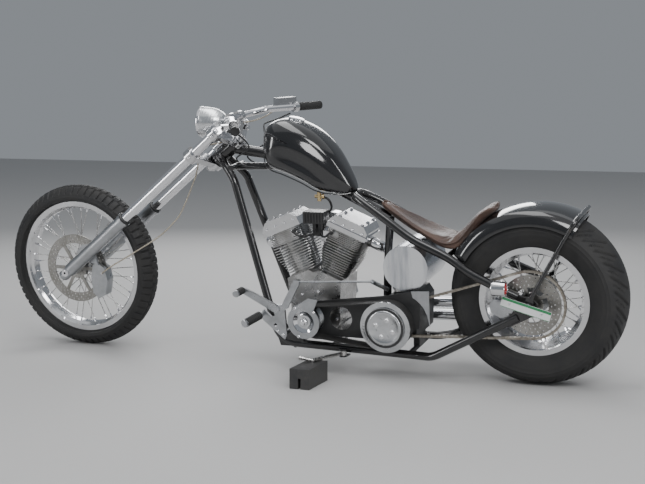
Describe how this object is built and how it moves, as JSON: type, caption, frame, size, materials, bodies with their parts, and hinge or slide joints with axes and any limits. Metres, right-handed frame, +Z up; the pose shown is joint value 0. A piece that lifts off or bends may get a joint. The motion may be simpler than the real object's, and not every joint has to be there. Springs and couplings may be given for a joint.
{
  "type": "chopper motorcycle",
  "caption": "Long-fork chopper motorcycle with spoked wheels, V-twin engine, open belt primary and dished leather seat, leaning on its side stand.",
  "frame": {"origin": "on the floor, at the middle of the footprint of the parked motorcycle", "axes": "+X forward, +Y to the rider's left, +Z up; the motorcycle leans 6.6 degrees to its left"},
  "size_m": [2.6479, 0.9187, 1.0628],
  "materials": {
    "gloss_black": "deep gloss black paint",
    "frame_black": "gloss black powder coat",
    "polished_aluminium": "polished",
    "spun_aluminium": "spun and brushed",
    "satin_aluminium": "satin machined",
    "cast_aluminium": "cast, lightly polished",
    "chrome": "mirror chrome",
    "steel": "bright steel",
    "disc_steel": "ground steel with wear rings",
    "chain_steel": "oiled steel",
    "brass": "worn brass",
    "tyre_rubber": "matt rubber",
    "grip_rubber": "ribbed rubber",
    "belt_rubber": "toothed rubber",
    "brown_leather": "worn brown leather",
    "black_plastic": "satin black",
    "block_black": "worn black",
    "hose_clear": "braided steel under clear sleeve",
    "lamp_glass": "clear ribbed glass",
    "red_lens": "red lens in an aluminium can",
    "plate_white": "white with a green edge"
  },
  "bodies": {
    "frame": {"front_frame": "frame_black", "rear_frame": "frame_black", "fuel_tank": "gloss_black", "fuel_cap": "polished_aluminium", "fuel_tap": "brass", "seat": "brown_leather", "rear_fender": "gloss_black", "fender_strut": "frame_black", "crankcase": "cast_aluminium", "cylinders": "cast_aluminium", "cylinder_heads": "cast_aluminium", "rocker_boxes": "polished_aluminium", "cam_cover": "polished_aluminium", "pushrod_tubes": "chrome", "air_cleaner": "polished_aluminium", "exhaust_pipes": "chrome", "coil_box": "black_plastic", "primary_plate": "satin_aluminium", "engine_pulley": "steel", "pulley_guard": "satin_aluminium", "primary_belt": "belt_rubber", "clutch_drum": "spun_aluminium", "gearbox": "black_plastic", "drive_chain": "chain_steel", "oil_tank": "spun_aluminium", "left_foot_control": "satin_aluminium", "right_foot_control": "satin_aluminium", "stand_block": "block_black", "tail_light": "red_lens", "number_plate": "plate_white", "rear_caliper": "satin_aluminium", "rear_axle": "steel"},
    "steering": {"steering_yokes": "satin_aluminium", "fork_tubes": "chrome", "fork_sliders": "satin_aluminium", "front_axle": "steel", "front_caliper": "satin_aluminium", "front_brake_hose": "hose_clear", "headlight": "polished_aluminium", "headlight_lens": "lamp_glass", "handlebar": "chrome", "grips": "grip_rubber", "brake_master_cylinder": "polished_aluminium", "clutch_lever": "polished_aluminium"},
    "front_wheel": {"front_tyre": "tyre_rubber", "front_rim": "polished_aluminium", "front_spokes": "steel", "front_hub": "satin_aluminium", "front_disc": "disc_steel"},
    "rear_wheel": {"rear_tyre": "tyre_rubber", "rear_rim": "polished_aluminium", "rear_spokes": "steel", "rear_hub": "satin_aluminium", "rear_sprocket": "disc_steel"},
    "side_stand": {"side_stand": "steel"}
  },
  "joints": [
    {"name": "steering_turn", "type": "hinge", "parent": "frame", "child": "steering", "pos_m": [0.26445, -0.01565, 0.84179], "axis": [-0.7771, 0.0723, 0.6251], "range_deg": [-30, 30]},
    {"name": "front_wheel_spin", "type": "hinge", "parent": "steering", "child": "front_wheel", "pos_m": [0.976, -0.073, 0.3461], "axis": [0, 0.9934, -0.1149], "continuous": true},
    {"name": "rear_wheel_spin", "type": "hinge", "parent": "frame", "child": "rear_wheel", "pos_m": [-0.994, -0.07497, 0.32907], "axis": [0, -0.9934, 0.1149], "continuous": true},
    {"name": "side_stand_fold", "type": "hinge", "parent": "frame", "child": "side_stand", "pos_m": [-0.269, 0.0651, 0.0823], "axis": [0, 0, 1], "range_deg": [0, 92]}
  ]
}
